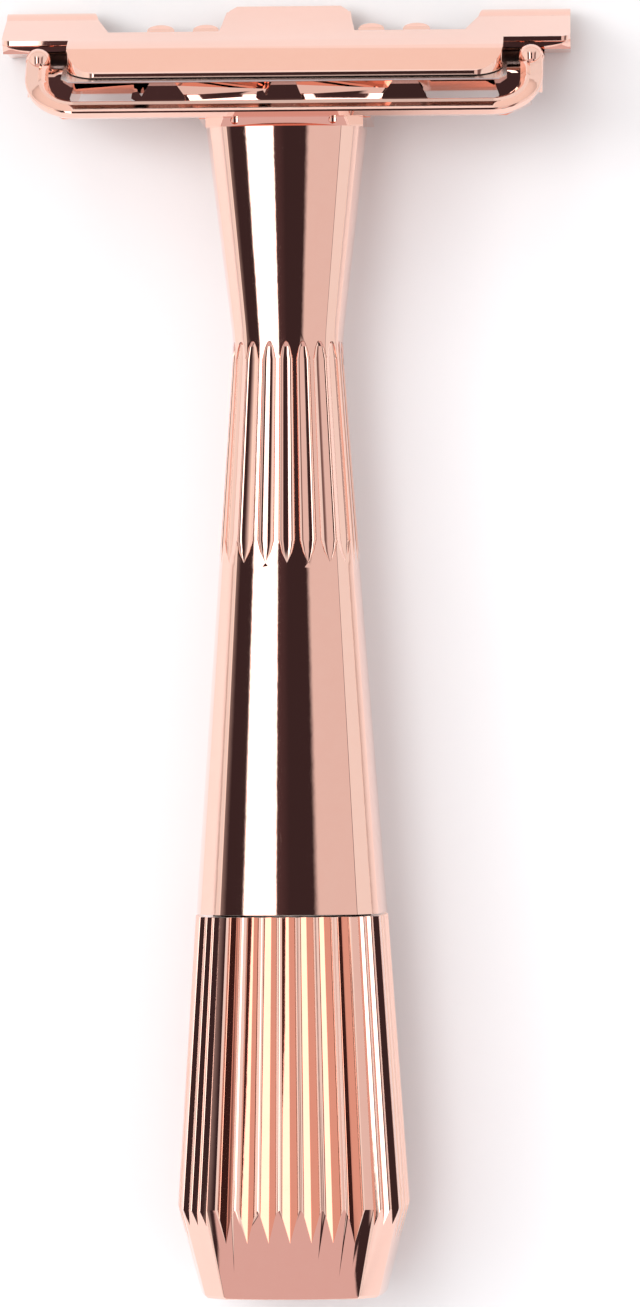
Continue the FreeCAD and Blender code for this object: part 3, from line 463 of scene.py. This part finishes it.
def facet_groove_tree():
    """Geometry Nodes tree that cuts a row of grooves into each of a bar's four equal facets.

    Each groove is a copy of the cutter, whose x runs across the facet, y along it from 0 to 1, and
    z out of it, in half-widths.  Crown, Lean and Tilt set it into the crowned facet by its place in
    the row, and Spread varies its width at random.
    """
    tree = bpy.data.node_groups.new("facet_grooves", "GeometryNodeTree")
    tree.interface.new_socket("Geometry", in_out="INPUT", socket_type="NodeSocketGeometry")
    for label, kind, default in (
            ("Cutter", "NodeSocketObject", None), ("Count", "NodeSocketInt", 5),
            ("Pitch", "NodeSocketFloat", 0.3), ("Distance", "NodeSocketFloat", 1.0),
            ("Turn", "NodeSocketFloat", 0.0), ("Crown", "NodeSocketFloat", 0.0),
            ("Low", "NodeSocketFloat", 0.0), ("High", "NodeSocketFloat", 1.0),
            ("Half At Low", "NodeSocketFloat", 1.0), ("Half At High", "NodeSocketFloat", 1.0),
            ("Lean", "NodeSocketFloat", 0.0), ("Tilt", "NodeSocketFloat", 0.0),
            ("Spread", "NodeSocketFloat", 0.0), ("Seed", "NodeSocketInt", 3),
            ("Axis Height", "NodeSocketFloat", 0.0), ("Material", "NodeSocketMaterial", None)):
        socket = tree.interface.new_socket(label, in_out="INPUT", socket_type=kind)
        if default is not None:
            socket.default_value = default
    tree.interface.new_socket("Geometry", in_out="OUTPUT", socket_type="NodeSocketGeometry")
    nodes, links = tree.nodes, tree.links
    given = nodes.new("NodeGroupInput").outputs
    made = nodes.new("NodeGroupOutput")

    def sum_of(operation, *terms):
        """Result of a math node on sockets or plain numbers."""
        node = nodes.new("ShaderNodeMath")
        node.operation = operation
        for socket, term in zip(node.inputs, terms):
            if isinstance(term, (int, float)):
                socket.default_value = term
            else:
                links.new(term, socket)
        return node.outputs[0]

    def kept(geometry, name, number):
        """The geometry with a number stored on its points."""
        node = nodes.new("GeometryNodeStoreNamedAttribute")
        node.data_type = "FLOAT"
        node.domain = "POINT"
        node.inputs["Name"].default_value = name
        links.new(geometry, node.inputs["Geometry"])
        links.new(number, node.inputs["Value"])
        return node.outputs[0]

    def recalled(name):
        """A number that was stored on the points."""
        node = nodes.new("GeometryNodeInputNamedAttribute")
        node.data_type = "FLOAT"
        node.inputs["Name"].default_value = name
        return node.outputs[0]

    index = nodes.new("GeometryNodeInputIndex").outputs[0]
    points = nodes.new("GeometryNodePoints")
    links.new(sum_of("MULTIPLY", given["Count"], 4), points.inputs["Count"])
    in_row = sum_of("MODULO", index, given["Count"])
    middle = sum_of("MULTIPLY", sum_of("SUBTRACT", given["Count"], 1), 0.5)
    place = sum_of("MULTIPLY", sum_of("SUBTRACT", in_row, middle), given["Pitch"])
    quarter = sum_of("FLOOR", sum_of("DIVIDE", index, given["Count"]))
    turn = sum_of("ADD", sum_of("MULTIPLY", quarter, math.pi / 2), given["Turn"])
    chance = nodes.new("FunctionNodeRandomValue")
    chance.data_type = "FLOAT"
    links.new(sum_of("SUBTRACT", 1.0, given["Spread"]), chance.inputs["Min"])
    links.new(sum_of("ADD", 1.0, given["Spread"]), chance.inputs["Max"])
    links.new(index, chance.inputs["ID"])
    links.new(given["Seed"], chance.inputs["Seed"])
    marked = kept(kept(points.outputs[0], "place", place), "turn", turn)
    marked = kept(marked, "widening", chance.outputs["Value"])
    cutter = nodes.new("GeometryNodeObjectInfo")
    links.new(given["Cutter"], cutter.inputs["Object"])
    row = nodes.new("GeometryNodeInstanceOnPoints")
    links.new(marked, row.inputs["Points"])
    links.new(cutter.outputs["Geometry"], row.inputs["Instance"])
    flat_at = nodes.new("GeometryNodeSetPosition")
    origin = nodes.new("GeometryNodeInputPosition")
    real = nodes.new("GeometryNodeRealizeInstances")
    links.new(row.outputs[0], real.inputs[0])
    links.new(real.outputs[0], flat_at.inputs["Geometry"])
    spot = nodes.new("ShaderNodeSeparateXYZ")
    links.new(origin.outputs[0], spot.inputs[0])
    span = sum_of("SUBTRACT", given["High"], given["Low"])
    length = sum_of("ADD", given["Low"], sum_of("MULTIPLY", spot.outputs["Y"], span))
    growth = sum_of("SUBTRACT", given["Half At High"], given["Half At Low"])
    half = sum_of("ADD", given["Half At Low"], sum_of("MULTIPLY", spot.outputs["Y"], growth))
    leaning = sum_of("MULTIPLY", sum_of("MULTIPLY", recalled("place"), given["Lean"]),
                     spot.outputs["Z"])
    reach = sum_of("ADD", sum_of("MULTIPLY", spot.outputs["X"], recalled("widening")), leaning)
    side = sum_of("MULTIPLY", sum_of("ADD", recalled("place"), reach), half)
    fall = sum_of("MULTIPLY", sum_of("POWER", recalled("place"), 2), given["Crown"])
    tipping = sum_of("MULTIPLY", sum_of("MULTIPLY", recalled("place"), given["Tilt"]),
                     spot.outputs["X"])
    fall = sum_of("ADD", fall, tipping)
    out = sum_of("SUBTRACT", sum_of("ADD", given["Distance"], spot.outputs["Z"]), fall)
    moved = nodes.new("ShaderNodeCombineXYZ")
    links.new(side, moved.inputs["X"])
    links.new(length, moved.inputs["Y"])
    links.new(sum_of("MULTIPLY", out, half), moved.inputs["Z"])
    turned = nodes.new("ShaderNodeVectorRotate")
    turned.rotation_type = "Y_AXIS"
    links.new(moved.outputs[0], turned.inputs["Vector"])
    links.new(recalled("turn"), turned.inputs["Angle"])
    lift = nodes.new("ShaderNodeCombineXYZ")
    links.new(given["Axis Height"], lift.inputs["Z"])
    raised = nodes.new("ShaderNodeVectorMath")
    links.new(turned.outputs[0], raised.inputs[0])
    links.new(lift.outputs[0], raised.inputs[1])
    links.new(raised.outputs[0], flat_at.inputs["Position"])
    carve = nodes.new("GeometryNodeMeshBoolean")
    carve.operation = "DIFFERENCE"
    carve.solver = "EXACT"
    links.new(given["Geometry"], carve.inputs["Mesh 1"])
    links.new(flat_at.outputs[0], carve.inputs["Mesh 2"])
    last = nodes.new("GeometryNodeRealizeInstances")
    links.new(carve.outputs["Mesh"], last.inputs[0])
    paint = nodes.new("GeometryNodeSetMaterial")
    links.new(last.outputs[0], paint.inputs["Geometry"])
    links.new(given["Material"], paint.inputs["Material"])
    links.new(paint.outputs[0], made.inputs["Geometry"])
    return tree


groove_tree = facet_groove_tree()


def cut_grooves(piece, tool, **sizes):
    """Cut one row of grooves per quarter turn; sizes are the tree's named inputs."""
    cut = piece.modifiers.new("grooves", "NODES")
    cut.node_group = groove_tree
    sizes.update({"Cutter": tool, "Axis Height": AXIS_Z, "Material": rose_gold})
    for socket in groove_tree.interface.items_tree:
        if socket.in_out == "INPUT" and socket.name in sizes:
            cut[socket.identifier] = sizes[socket.name]
    bake(piece)


HANDLE_LOW, WAIST, NECK_TOP = 32.1, 80.0, 98.0
HALF_LOW, HALF_WAIST, HALF_TOP = 8.05, 4.57, 6.75
LOWER_SLOPE = (HALF_WAIST - HALF_LOW) / (WAIST - HANDLE_LOW)
WAIST_ROUNDING = 0.06


def handle_half(mm):
    """Half-width of the handle: two straight tapers that meet in a softly rounded waist."""
    lower = HALF_LOW + (mm - HANDLE_LOW) * LOWER_SLOPE
    upper = HALF_WAIST + (mm - WAIST) * (HALF_TOP - HALF_WAIST) / (NECK_TOP - WAIST)
    return (lower + upper) / 2 + math.hypot((lower - upper) / 2, WAIST_ROUNDING)


def stations(start, end, count, half_at):
    """Evenly spaced stations of a bar, as (mm along the axis, half-width in mm)."""
    places = [start + (end - start) * step / count for step in range(count + 1)]
    return [(mm, half_at(mm)) for mm in places]


# A flute's half-width, its depth and the share of its length that each pointed end takes.  Below
# 1, the power makes the flutes flatter at the bottom and steeper at the sides.
FLUTE_HALF, FLUTE_DEPTH, FLUTE_POINT, FLUTE_POWER = 0.124, 0.06, 0.11, 0.62


def flute_cutter():
    """Spindle with pointed ends in facet coordinates: across, 0 to 1 along, and out."""
    sides, rings = 24, 20
    shape = bmesh.new()
    loops = []
    for ring in range(1, rings):
        travel = ring / rings
        from_end = min(travel, 1 - travel) / FLUTE_POINT
        width = math.sin(min(from_end, 1) * math.pi / 2)
        loop = []
        for side in range(sides):
            over, up = math.cos(2 * math.pi * side / sides), math.sin(2 * math.pi * side / sides)
            over, up = (math.copysign(abs(value) ** FLUTE_POWER, value) for value in (over, up))
            loop.append(shape.verts.new((FLUTE_HALF * width * over, travel,
                                         FLUTE_DEPTH * width * up)))
        loops.append(loop)
    for low, high in zip(loops, loops[1:]):
        for side in range(sides):
            after = (side + 1) % sides
            shape.faces.new((low[side], low[after], high[after], high[side]))
    for loop, end in ((loops[0], 0.0), (loops[-1], 1.0)):
        tip = shape.verts.new((0, end, 0))
        for side in range(sides):
            shape.faces.new((loop[side], tip, loop[(side + 1) % sides]))
    return solid(shape, "flute_cutter")


# How a flat falls away beside its middle, and how far out a chamfer's middle is, in half-widths.
CROWN_FALL = (1 - math.cos(CROWN)) / math.sin(CROWN) / FLAT_SHARE
CORNER_DISTANCE = (FLAT_SHARE + 1 - CROWN_FALL * FLAT_SHARE ** 2) / math.sqrt(2)
handle_steps = 66
handle = faceted_bar("handle", stations(HANDLE_LOW, NECK_TOP, handle_steps, handle_half))
flute = flute_cutter()
flute_low, flute_high = 61.5, 80.5
flute_sizes = {"Low": along(flute_low), "High": along(flute_high), "Pitch": 0.306,
               "Half At Low": handle_half(flute_low) * MM,
               "Half At High": (HALF_LOW + (flute_high - HANDLE_LOW) * LOWER_SLOPE) * MM}
cut_grooves(handle, flute, Count=5, Distance=1.0, Crown=CROWN_FALL, Tilt=0.36, **flute_sizes)
cut_grooves(handle, flute, Count=1, Distance=CORNER_DISTANCE, Turn=math.pi / 4, **flute_sizes)
drop(flute)
soften(handle, 0)
finish_piece(handle, rose_gold, "handle", "rose_gold_plate", "handle_shell")

# -------------------------------------------------------------------------------------------------
# Knob: the same crowned octagon, widest near its end.  Forty vee grooves are planed along it and run
# out as spikes on the short taper, so that wet fingers can turn it.
KNOB_TOP, GIRTH = 31.9, 7.6
HALF_END, HALF_GIRTH, HALF_KNOB_TOP = 7.875, 9.75, 8.1
END_CHAMFER = 0.25
knob = faceted_bar("knob", ((0, HALF_END - END_CHAMFER), (END_CHAMFER, HALF_END),
                            (GIRTH, HALF_GIRTH), (KNOB_TOP, HALF_KNOB_TOP)))


# Each flank of a vee as (share of the half-width, slope in degrees), from the bottom up, and how
# far the cutter stands out of the mouth.
VEE_FLANK = ((0.62, 49.5), (0.09, 46), (0.08, 41), (0.07, 35), (0.06, 29), (0.05, 24))
VEE_MOUTH = 0.02


def vee_cutter(depth, half_mouth):
    """Straight vee with rounded shoulders, in facet coordinates."""
    x, z, right = 0.0, -depth, [(0.0, -depth)]
    for share, slope in VEE_FLANK:
        x += share * half_mouth
        z += share * half_mouth * math.tan(math.radians(slope))
        right.append((x, z))
    right.append((right[-1][0] + VEE_MOUTH, VEE_MOUTH))
    section = right + [(-across, out) for across, out in reversed(right[1:])]
    shape = bmesh.new()
    rings = [[shape.verts.new((across, far, out)) for across, out in section] for far in (0, 1)]
    return ringed(shape, rings, "vee_cutter")


vee_low, vee_high = 3.4, 33.0
knob_slope = (HALF_KNOB_TOP - HALF_GIRTH) / (KNOB_TOP - GIRTH)
vee_sizes = {"Low": along(vee_low), "High": along(vee_high),
             "Half At Low": (HALF_GIRTH + (vee_low - GIRTH) * knob_slope) * MM,
             "Half At High": (HALF_GIRTH + (vee_high - GIRTH) * knob_slope) * MM}
vee_sizes.update({"Lean": 0.7, "Spread": 0.1})
flat_vee, corner_vee = vee_cutter(0.091, 0.0955), vee_cutter(0.053, 0.055)
cut_grooves(knob, flat_vee, Count=7, Pitch=0.192, Distance=1.0, Crown=CROWN_FALL, Seed=5,
            **vee_sizes)
cut_grooves(knob, corner_vee, Count=3, Pitch=0.11, Distance=CORNER_DISTANCE, Turn=math.pi / 4,
            Seed=8, **vee_sizes)
drop(flat_vee, corner_vee)
soften(knob, 0)
finish_piece(knob, rose_gold, "knob", "rose_gold_plate", "knob_shell")

# -------------------------------------------------------------------------------------------------
# Collar: a thin zinc plate with cut corners between the neck and the head, cast with the two small
# draft holes that face the user, and plated like the rest.


def prism(name, outline, axis, start, end):
    """Straight solid from an outline: axis x takes (y, z) points, y takes (x, z) and z (x, y)."""
    def spot(first, second, depth):
        if axis == "x":
            return depth * MM, along(first), above(second)
        if axis == "y":
            return first * MM, along(depth), above(second)
        return first * MM, along(second), above(depth)

    shape = bmesh.new()
    low = [shape.verts.new(spot(first, second, start)) for first, second in outline]
    high = [shape.verts.new(spot(first, second, end)) for first, second in outline]
    shape.faces.new(low)
    shape.faces.new(high[::-1])
    for step in range(len(outline)):
        after = (step + 1) % len(outline)
        shape.faces.new((low[step], high[step], high[after], low[after]))
    return solid(shape, name)


def mirrored(half_outline):
    """Whole outline from its right half, which runs from the middle line to the middle line."""
    return half_outline + [(-x, other) for x, other in reversed(half_outline)]


def arc(centre, radius, start, end, steps):
    """Points on an arc, angles in degrees."""
    angles = [math.radians(start + (end - start) * step / steps) for step in range(steps + 1)]
    return [(centre[0] + radius * math.cos(angle), centre[1] + radius * math.sin(angle))
            for angle in angles]


COLLAR_TOP = 98.8
collar_plan = mirrored([(5.0, 6.6), (6.6, 5.0), (6.6, -6.0), (5.0, -7.6)])
collar = prism("collar", collar_plan, "y", NECK_TOP, COLLAR_TOP)
front_bevel = prism("front_bevel", ((97.9, 6.26), (98.9, 6.64), (98.9, 7.5), (97.9, 7.5)),
                    "x", -7, 7)
combine(collar, front_bevel, "DIFFERENCE")
for side in (-1, 1):
    hole = prism("draft_hole", arc((side * 4.1, 98.5), 0.34, 0, 345, 23), "z", 5.0, 7.0)
    combine(collar, hole, "DIFFERENCE")
yoke_window = prism("yoke_window", mirrored([(2.45, 2.15), (2.45, -6.8)]), "y", 97, 100)
combine(collar, yoke_window, "DIFFERENCE")
soften(collar, 0.12)
finish_piece(collar, rose_gold, "handle", "rose_gold_plate", "neck_collar")

# -------------------------------------------------------------------------------------------------
# Base: a zinc casting.  Its guard bar has two bevels that meet in a ridge and sweeps up into the
# side arms; four rinse openings lie between three ribs; the blade lies on its sloping seat.
# The blade's edge as (height, distance in front of the axis), and the slope of its seat.
EDGE, TILT = (101.7, 6.9), math.tan(math.radians(20))
# The guard: its middle as (height, distance in front), its reach to a side, its corners' radius
# and steps, the arms' height, and its section as (outwards in its own plane, out of that plane).
GUARD_MIDDLE = (99.35, 7.2)
GUARD_REACH, GUARD_CORNER, CORNER_STEPS, ARM_HEIGHT = 20.9, 3.4, 12, 5.6
GUARD_SECTION = ((-0.56, 0.5), (-0.31, 0.4), (0.70, 0.62), (0.80, 0.50), (0.71, -0.1),
                 (0.1, -0.85), (-0.95, -0.85), (-1.1, 0.1))
# The rinse openings: bottom, top and corner radius.
OPENING_LOW, OPENING_HIGH, OPENING_ROUND = 100.15, 101.72, 0.45
# The hinge lugs as (middle, half-width), and the dome on each as (foot, height).
LUGS, DOME = ((7.05, 1.12), (10.9, 1.17)), (107.0, 0.56)


def seat(z):
    """Height of the blade's underside at a distance in front of the axis."""
    return EDGE[0] + (EDGE[1] - z) * TILT


def copy_of(node, name):
    """Merged copy of a CAD node's mesh, in place."""
    shape = bmesh.new()
    shape.from_mesh(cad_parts[node].data)
    bmesh.ops.remove_doubles(shape, verts=shape.verts, dist=1e-6)
    return released(shape, name)


def merge_flats(piece):
    """Join the triangles of each flat face, so that rounding and shading run evenly round it."""
    shape = bmesh.new()
    shape.from_mesh(piece.data)
    bmesh.ops.dissolve_limit(shape, angle_limit=math.radians(0.2), verts=shape.verts,
                             edges=shape.edges)
    shape.to_mesh(piece.data)
    shape.free()


def guard_path():
    """Path of the guard and its arms, as (x, climb) and the outward direction in the same plane."""
    path = [(-GUARD_REACH, ARM_HEIGHT, -1.0, 0.0)]
    for side, first, last in ((-1, 180, 270), (1, 270, 360)):
        middle = side * (GUARD_REACH - GUARD_CORNER)
        for step in range(CORNER_STEPS + 1):
            angle = math.radians(first + (last - first) * step / CORNER_STEPS)
            outward = (math.cos(angle), math.sin(angle))
            path.append((middle + GUARD_CORNER * outward[0],
                         GUARD_CORNER + GUARD_CORNER * outward[1], *outward))
    return path + [(GUARD_REACH, ARM_HEIGHT, 1.0, 0.0)]


def guard_sweep():
    """Guard bar and both arms as one bar, swept along a path with round corners."""
    rise = Vector((0, 0.75, -0.66)).normalized()
    facing = Vector((0, 0.66, 0.75)).normalized()
    centre = Vector((0, along(GUARD_MIDDLE[0]), above(GUARD_MIDDLE[1])))
    shape = bmesh.new()
    rings = []
    for x, climb, side_way, down_way in guard_path():
        spot = centre + Vector((x * MM, 0, 0)) + rise * climb * MM
        outward = Vector((side_way, 0, 0)) + rise * down_way
        rings.append([shape.verts.new(spot + outward * o * MM + facing * n * MM)
                      for o, n in GUARD_SECTION])
    return ringed(shape, rings, "guard")


def rinse_opening(side, inner_low, outer_low, inner_high, outer_high):
    """Cutter of one opening: rounded in front view, with a ceiling that slopes back and down."""
    low, round_by = OPENING_LOW + OPENING_ROUND, OPENING_ROUND
    outline = (arc((side * (inner_low + round_by), low), round_by, 180 if side > 0 else 0, 270, 4)
               + arc((side * (outer_low - round_by), low), round_by, 270, 360 if side > 0 else 180,
                     4)
               + [(side * outer_high, OPENING_HIGH), (side * inner_high, OPENING_HIGH)])
    cutter = prism("rinse_opening", outline, "z", -9, 9)
    slope = prism("slope", ((99, 9), (103, 9), (101.72, 6.0), (101.05, 3.4), (102.0, -9), (99, -9)),
                  "x", -25, 25)
    return combine(cutter, slope, "INTERSECT")


def blind_back(middle, low, high, depth, slant):
    """Room in front of a cast back wall that leans sideways by a slant."""
    half = 4.6
    outline = [(middle + x, depth + x * slant) for x in (-half, half)]
    outline += [(middle + half, 9), (middle - half, 9)]
    return prism("blind_back", outline, "y", low, high)


def above_lugs(side):
    """All that is above the domed tops of one side's two hinge lugs."""
    foot, height = DOME
    plan = [(side * 5.2, foot), (side * 12.6, foot), (side * 12.6, 109), (side * 5.2, 109)]
    rest = prism("above_lugs", plan[::side], "z", -12, -4)
    for middle, half in LUGS:
        dome = [(side * middle + half * math.cos(math.radians(a)),
                 foot + (height if a < 180 else 0.2) * math.sin(math.radians(a)))
                for a in range(0, 360, 15)]
        combine(rest, prism("dome", dome, "z", -13, -3), "DIFFERENCE")
    return rest


# The CAD's base without its front, and a new front wall, underside, cheeks and guard.
base = copy_of("base_plate", "base")
front_block = prism("front_block", mirrored([(25, 97), (25, 106)]), "z", 4.3, 12)
combine(base, front_block, "DIFFERENCE")
wall = prism("wall", ((98.9, 4.0), (98.9, 7.3), (99.7, 7.3), (100.0, 6.2), (seat(6.0), 6.0),
                      (seat(4.0), 4.0)), "x", -17.7, 17.7)
combine(base, wall, "UNION")
for side in (-1, 1):
    under = prism("under", ((97, 4.6), (98.8, 4.6), (101.9, -7.7), (97, -7.7)), "x", side * 7.2,
                  side * 25)
    combine(base, under, "DIFFERENCE")
    arm_trim = prism("arm_trim", ((95, 4.65), (104, 4.65), (104, -9), (95, -9)), "x", side * 20.7,
                     side * 25)
    combine(base, arm_trim, "DIFFERENCE")
for side in (-1, 1):
    fill = prism("fill", ((98.9, 4.3), (101.6, 4.3), (101.9, -4.0), (100.98, -4.0)), "x",
                 side * 10.8, side * 17.7)
    combine(base, fill, "UNION")
cheek_plan = ((17.0, 99.3), (19.0, 99.6), (20.6, 101.0), (20.8, 102.4), (17.0, 102.4))
for side in (-1, 1):
    cheek = prism("cheek", [(side * x, y) for x, y in cheek_plan][::side], "z", 4.0, 4.6)
    combine(base, cheek, "UNION")
combine(base, guard_sweep(), "UNION")

# The middle two rinse openings end in a back wall with two slanting faces.
for side in (-1, 1):
    middle_opening = rinse_opening(side, 1.45, 8.3, 1.0, 9.1)
    room = blind_back(side * 4.9, 99, 100.8, 4.8, 0.079)
    combine(room, blind_back(side * 4.9, 100.75, 103, 4.7, -0.13), "UNION")
    combine(base, combine(middle_opening, room, "INTERSECT"), "DIFFERENCE")
    combine(base, rinse_opening(side, 11.9, 18.0, 11.2, 17.6), "DIFFERENCE")
for side in (-1, 1):
    combine(base, above_lugs(side), "DIFFERENCE")
merge_flats(base)
soften(base, 0.07)
finish_piece(base, rose_gold, "handle", "rose_gold_plate", "base_plate")

# -------------------------------------------------------------------------------------------------
# End posts: two turned pins with round heads and a waist, pressed into the arms beside the blade.
POST_X, POST_LOW, POST_FRONT = 20.7, 100.8, 3.3
STEM_R, HEAD_R, HEAD_MIDDLE = 0.95, 1.08, 3.0
TURNED_SIDES = 48


def turned_piece(name, centre, profile):
    """Solid of revolution from (mm along, radius) points, about a line along y through centre."""
    shape = bmesh.new()
    rings = []
    for place, radius in profile:
        ring = []
        for side in range(TURNED_SIDES):
            angle = 2 * math.pi * side / TURNED_SIDES
            ring.append(shape.verts.new(((centre[0] + radius * math.cos(angle)) * MM,
                                         along(centre[1] + place),
                                         above(centre[2] + radius * math.sin(angle)))))
        rings.append(ring)
    return ringed(shape, rings, name)


def joined(name, parts):
    """One mesh from several separate solids, which are used up."""
    shape = bmesh.new()
    for part in parts:
        shape.from_mesh(part.data)
    drop(*parts)
    return released(shape, name)


def post_profile():
    """Stem, neck groove and round head."""
    head = [(HEAD_MIDDLE + HEAD_R * math.sin(math.radians(a)), HEAD_R * math.cos(math.radians(a)))
            for a in range(-50, 86, 9)]
    return [(0, STEM_R), (1.9, STEM_R), (2.02, 0.75), (2.12, 0.72)] + head


posts = joined("end_posts_turned",
               [turned_piece("post", (side * POST_X, POST_LOW, POST_FRONT), post_profile())
                for side in (-1, 1)])
soften(posts, 0)
finish_piece(posts, rose_gold, "handle", "rose_gold_plate", "end_posts")

# -------------------------------------------------------------------------------------------------
# Cap: a zinc casting.  Its bevelled front ends in a small lip, the flat top runs back into the ears
# and the middle hump, and those carry the hinge knuckles.
# Points in the side view are (height, distance in front of the axis), as on the base.
HINGE, PIN_R, KNUCKLE_R = (106.1, -7.1), 0.8, 2.6
CREASE, TOP_SLOPE = (104.9, 3.6), 0.3472
BACK_Z = -6.3
CAP_HALF, EAR_IN = 24, 16
HUMP_HALF, HUMP_BACK_HALF = 5.75, 5.1
BLADE_ROOM = 0.22


def cap_top(z):
    """Height of the cap's flat top at a distance in front of the axis."""
    return CREASE[0] + (CREASE[1] - z) * TOP_SLOPE


def cap_under(z):
    """Height of the cap's underside, which clears the blade."""
    return seat(z) + BLADE_ROOM


def ear(side):
    """One side's ear, with a hollow lower edge and an eased outer corner."""
    profile = ((cap_top(1.3), 1.3), (cap_top(BACK_Z), BACK_Z), (cap_under(BACK_Z), BACK_Z),
               (cap_under(-1.0), -1.0), (105.2, -0.6), (105.42, -0.1), (105.5, 0.4), (105.45, 0.85),
               (105.3, 1.22), (105.32, 1.3))
    plan = ((EAR_IN, 2), (23.2, 2), (23.2, 1.3), (23.77, 1.07), (CAP_HALF, 0.5), (CAP_HALF, -12),
            (EAR_IN, -12))
    whole = prism("ear", profile, "x", side * 16.5, side * CAP_HALF)
    limits = prism("ear_plan", [(side * x, z) for x, z in plan], "y", 95, 115)
    return combine(whole, limits, "INTERSECT")


def belly(side):
    """Rounded lower edge of one side's ear."""
    outline = [(side * 20 + 3.6 * math.cos(math.radians(a)),
                105.4 + 0.58 * math.sin(math.radians(a))) for a in range(180, 361, 10)]
    return prism("belly", outline, "z", -1.4, 0.8)


def hump():
    """Middle hump, which runs back over the hinge and narrows towards its end."""
    profile = ((cap_top(-0.2) - 0.02, -0.2), (109.14, -7.0), (108.8, -8.5), (106.1, -8.5),
               (106.1, -3.6), (cap_under(-3.6) + 0.3, -3.6), (105.6, -0.2))
    plan = mirrored([(0, -0.1), (5.72, -0.1), (5.35, -4.8), (5.0, -6.0), (4.3, -7.2), (4.1, -13)])
    return combine(prism("hump", profile, "x", -HUMP_HALF, HUMP_HALF),
                   prism("hump_plan", plan, "y", 95, 115), "INTERSECT")


front_profile = ((102.16, 6.16), (102.24, 6.24), (102.5, 6.24), (102.72, 5.92), CREASE,
                 (cap_top(BACK_Z), BACK_Z), (cap_under(BACK_Z), BACK_Z))
cap = prism("cap", front_profile, "x", -CAP_HALF, CAP_HALF)
plate_plan = mirrored([(0, 6.27)] + arc((15.45, 3.37), 2.9, 90, 0, 12) + [(18.35, -12)])
combine(cap, prism("plate_plan", plate_plan, "y", 95, 115), "INTERSECT")
for side in (-1, 1):
    combine(cap, ear(side), "UNION")
knuckle = prism("knuckle", arc(HINGE, KNUCKLE_R, 0, 355, 71), "x", -CAP_HALF, CAP_HALF)
combine(cap, knuckle, "UNION")
for side in (-1, 1):
    trim = prism("trim", ((101, -12), (101, -3.6), (105.15, -3.6), (105.15, -12)), "x", side * 17,
                 side * 25)
    combine(cap, trim, "DIFFERENCE")
    combine(cap, belly(side), "UNION")
recess_plan = ((HUMP_HALF, -1.2), (15.1, -1.2), (17.0, -8.4), (17.0, -13), (HUMP_BACK_HALF, -13),
               (HUMP_BACK_HALF, -8.4))
for side in (-1, 1):
    recess = prism("recess", [(side * x, z) for x, z in recess_plan], "y", 95, 115)
    combine(cap, recess, "DIFFERENCE")
combine(cap, hump(), "UNION")
combine(cap, prism("pin_bore", arc(HINGE, PIN_R, 0, 345, 23), "x", -25, 25), "DIFFERENCE")
lug_socket = prism("lug_socket", ((102, -6.1), (102, -3.7), (107, -3.7), (107, -6.1)), "x",
                   -0.9, 0.9)
combine(cap, lug_socket, "DIFFERENCE")
merge_flats(cap)
soften(cap, 0.1, segments=3)
finish_piece(cap, rose_gold, "cap", "rose_gold_plate", "cap_shell")

# -------------------------------------------------------------------------------------------------
# Inner and steel pieces keep their CAD shape: ground blade, turned steel, brass, rubber, acetal.


def paint(material, *names):
    """Give CAD nodes that stay in view their material."""
    for name in names:
        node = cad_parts[name]
        node.data.materials.clear()
        node.data.materials.append(material)


blade_steel = metal("blade_steel", (0.62, 0.62, 0.63), (0.72, 0.71, 0.70), 0.2, marks=0.9)
turned_steel = metal("turned_steel", (0.60, 0.60, 0.61), (0.68, 0.68, 0.68), 0.22, marks=0.8)
turned_brass = metal("turned_brass", (0.78, 0.58, 0.28), (0.85, 0.66, 0.36), 0.2, marks=0.8)
paint(blade_steel, "razor_blade")
paint(turned_steel, "hinge_pin", "drive_pin", "drive_yoke", "yoke_cross_pin", "pull_rod",
      "rod_stop_collar", "cap_drive_lug", "lug_dowel", "blade_pegs", "neck_dowels", "retaining_clip")
paint(turned_brass, "thread_insert", "lower_rod_bush", "upper_rod_bush")
paint(rose_gold, "knob_end_plug")

# Rubber and acetal have a finer cloudiness than metal.
PLASTIC_SCALE = 2500.0
ring_rubber = worn("ring_rubber", (0.02, 0.02, 0.02), (0.04, 0.04, 0.04), 0.6, HANDLED,
                   PLASTIC_SCALE)
washer_acetal = worn("washer_acetal", (0.8, 0.79, 0.74), (0.88, 0.87, 0.83), 0.4, HANDLED,
                     PLASTIC_SCALE)
paint(ring_rubber, "knob_o_ring")
paint(washer_acetal, "thrust_washer", "friction_washer")
